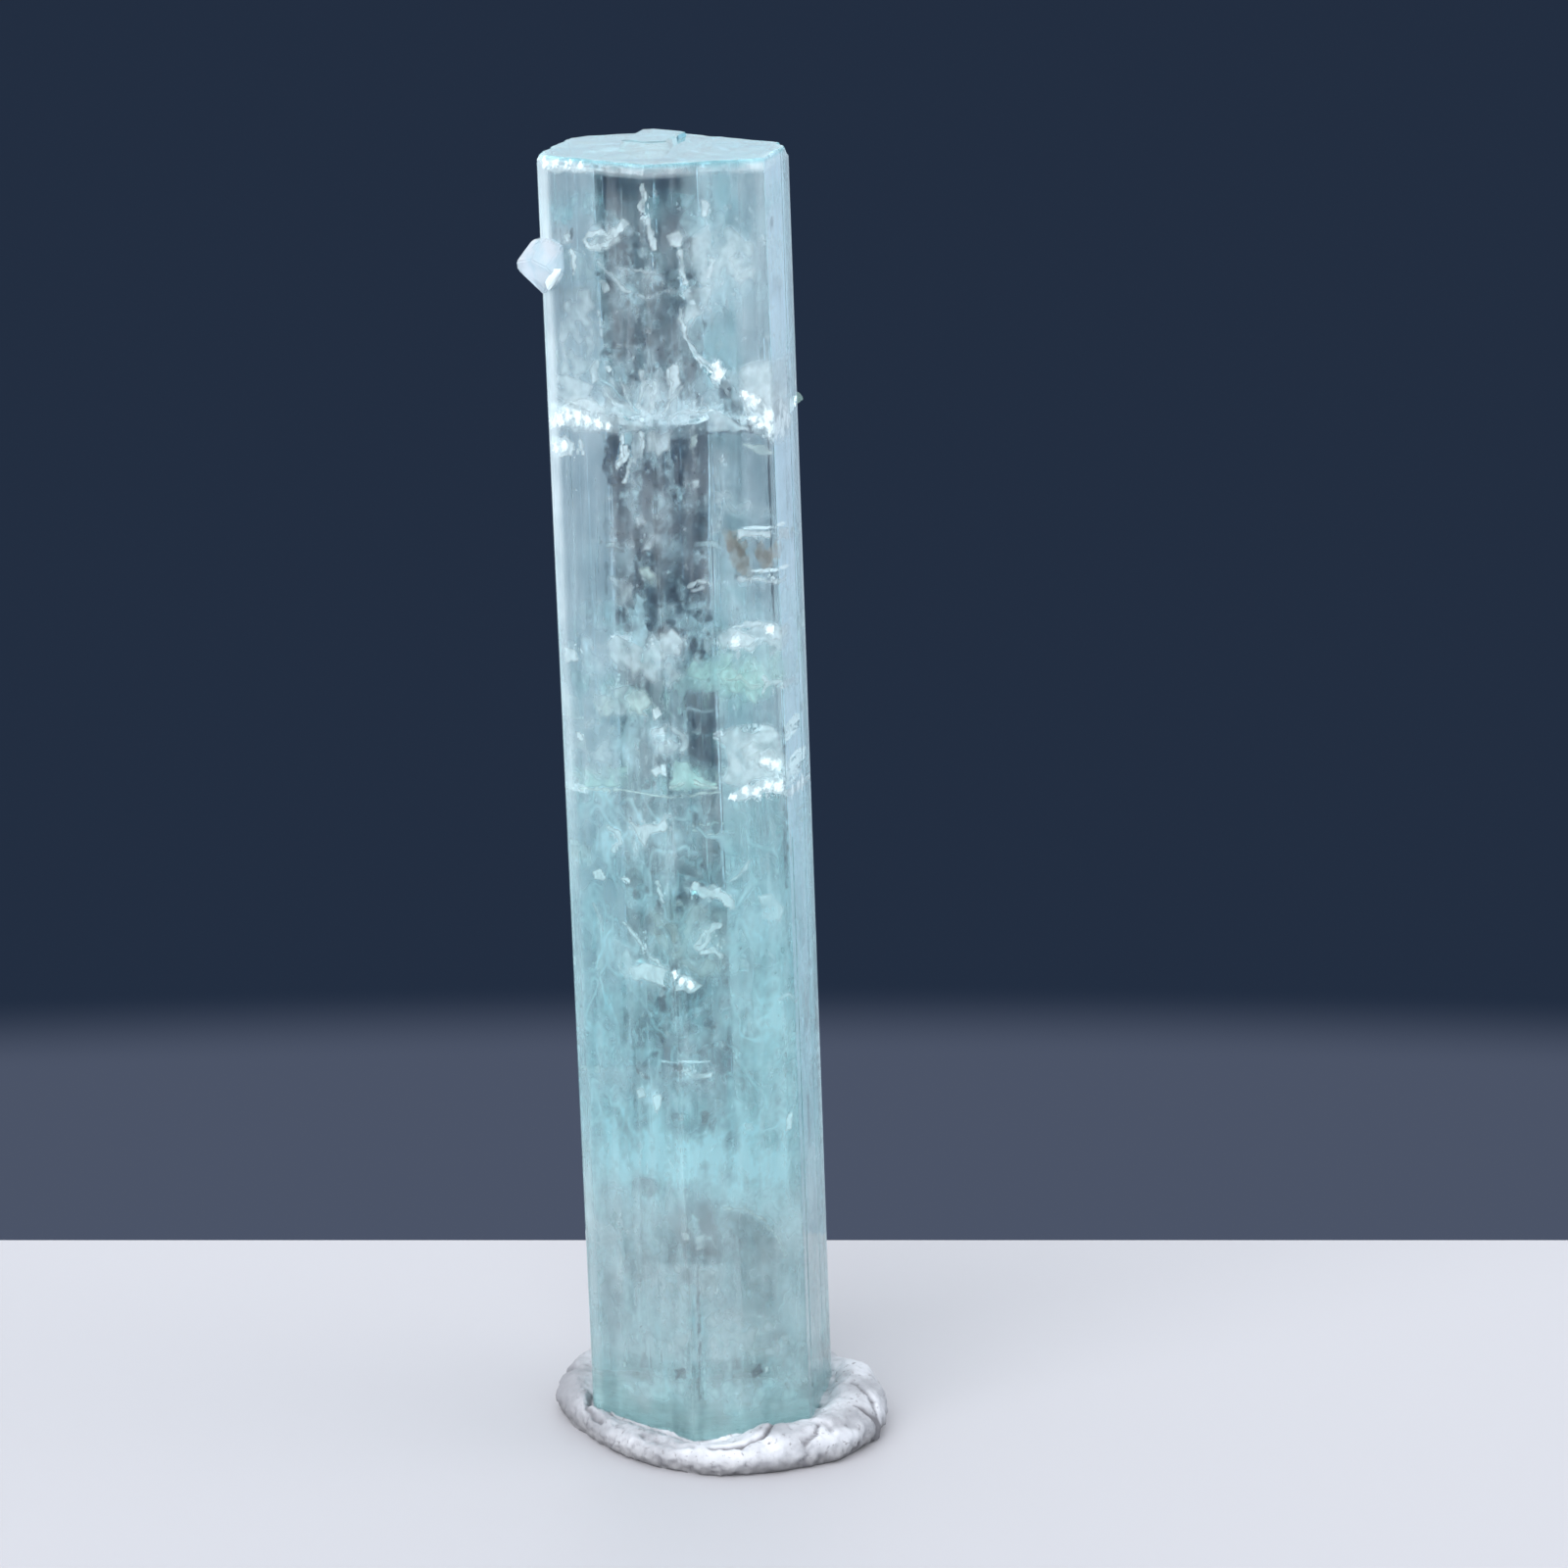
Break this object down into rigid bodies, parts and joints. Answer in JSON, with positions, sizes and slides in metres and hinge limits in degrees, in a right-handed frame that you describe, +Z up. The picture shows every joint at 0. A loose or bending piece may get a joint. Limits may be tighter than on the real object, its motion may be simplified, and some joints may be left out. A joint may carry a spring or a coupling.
{
  "type": "beryl crystal specimen",
  "caption": "Tall six-sided green beryl crystal with a flat end, leaning slightly in a rolled pad of white display putty.",
  "frame": {"origin": "centre of the putty pad's flat underside, under the foot of the crystal's axis", "axes": "+Z up along the standing crystal, -Y towards the viewer who faces the crystal's front edge, +X to the viewer's right"},
  "size_m": [0.0175, 0.0171, 0.0621],
  "materials": {
    "crystal": "clear pale blue-green, glossy natural faces with fine lengthwise striations",
    "putty_pad": "matt white hand-rolled putty"
  },
  "bodies": {
    "root": {"crystal": "crystal", "putty_pad": "putty_pad"}
  },
  "joints": []
}
